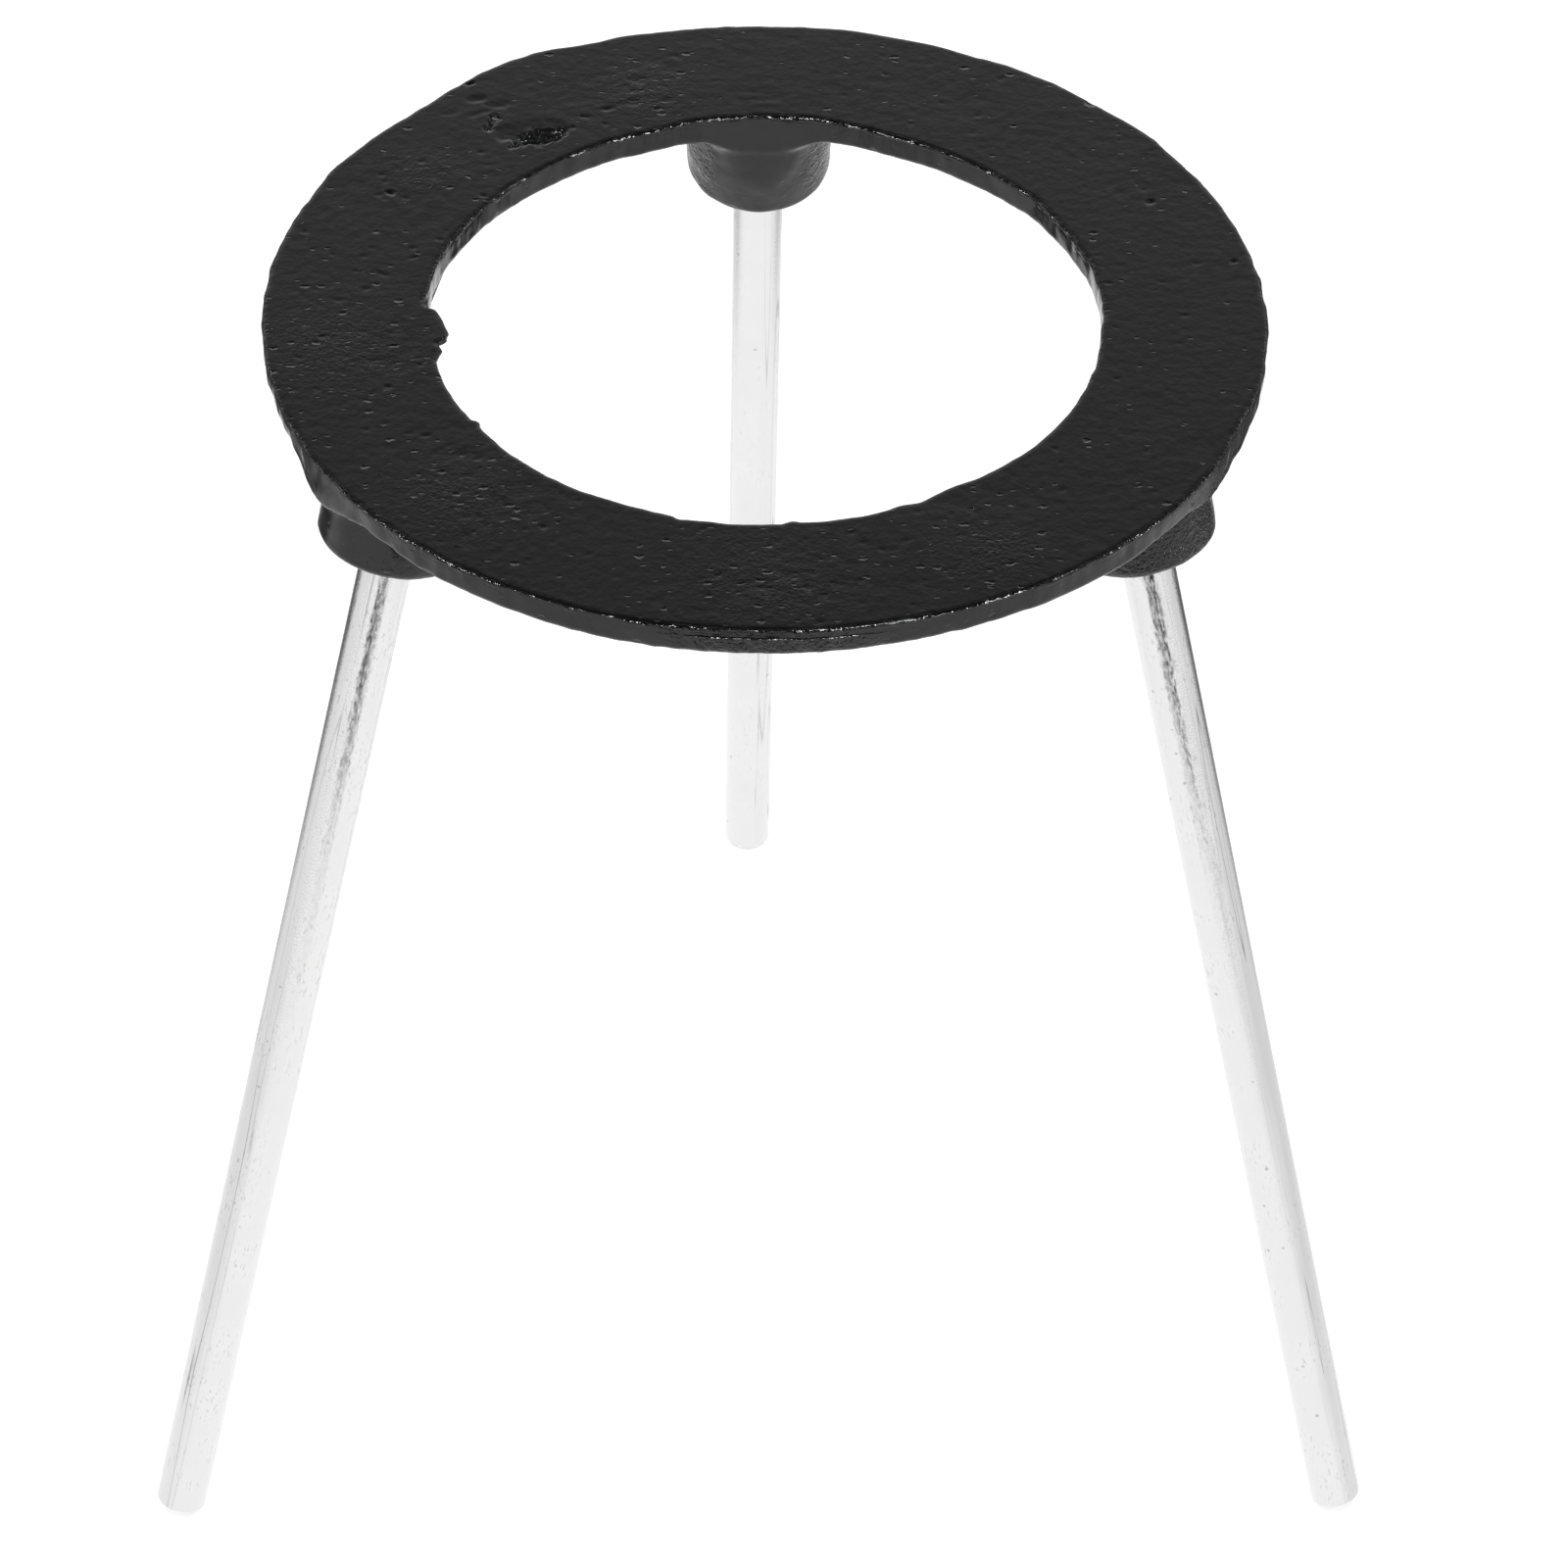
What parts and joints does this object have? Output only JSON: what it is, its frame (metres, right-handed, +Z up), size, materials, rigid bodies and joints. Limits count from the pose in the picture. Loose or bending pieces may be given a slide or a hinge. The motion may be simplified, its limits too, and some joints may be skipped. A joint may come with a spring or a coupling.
{
  "type": "laboratory tripod stand",
  "caption": "Flat cast ring on splayed screwed-in rod legs, which holds glassware or a gauze over a laboratory burner.",
  "frame": {"origin": "on the ring's axis, on the bench that the feet stand on", "axes": "+Z up along the ring's axis; +Y towards the single back leg; the two front legs lie either side of -Y"},
  "size_m": [0.1968, 0.188, 0.202],
  "materials": {
    "black_enamel": "glossy black enamel over a rough casting",
    "bright_zinc": "bright zinc plated, drawn along the rod"
  },
  "bodies": {
    "ring": {"ring_casting": "black_enamel"},
    "back_leg": {"leg_back": "bright_zinc"},
    "front_left_leg": {"leg_front_left": "bright_zinc"},
    "front_right_leg": {"leg_front_right": "bright_zinc"}
  },
  "joints": [
    {"name": "back_leg_unscrew", "type": "hinge", "parent": "ring", "child": "back_leg", "pos_m": [0, 0.06444, 0.18384], "axis": [0, 0.2377, -0.9713], "range_deg": [0, 3168]},
    {"name": "front_left_leg_unscrew", "type": "hinge", "parent": "ring", "child": "front_left_leg", "pos_m": [-0.05581, -0.03222, 0.18384], "axis": [-0.2058, -0.1188, -0.9713], "range_deg": [0, 3168]},
    {"name": "front_right_leg_unscrew", "type": "hinge", "parent": "ring", "child": "front_right_leg", "pos_m": [0.05581, -0.03222, 0.18384], "axis": [0.2058, -0.1188, -0.9713], "range_deg": [0, 3168]}
  ]
}
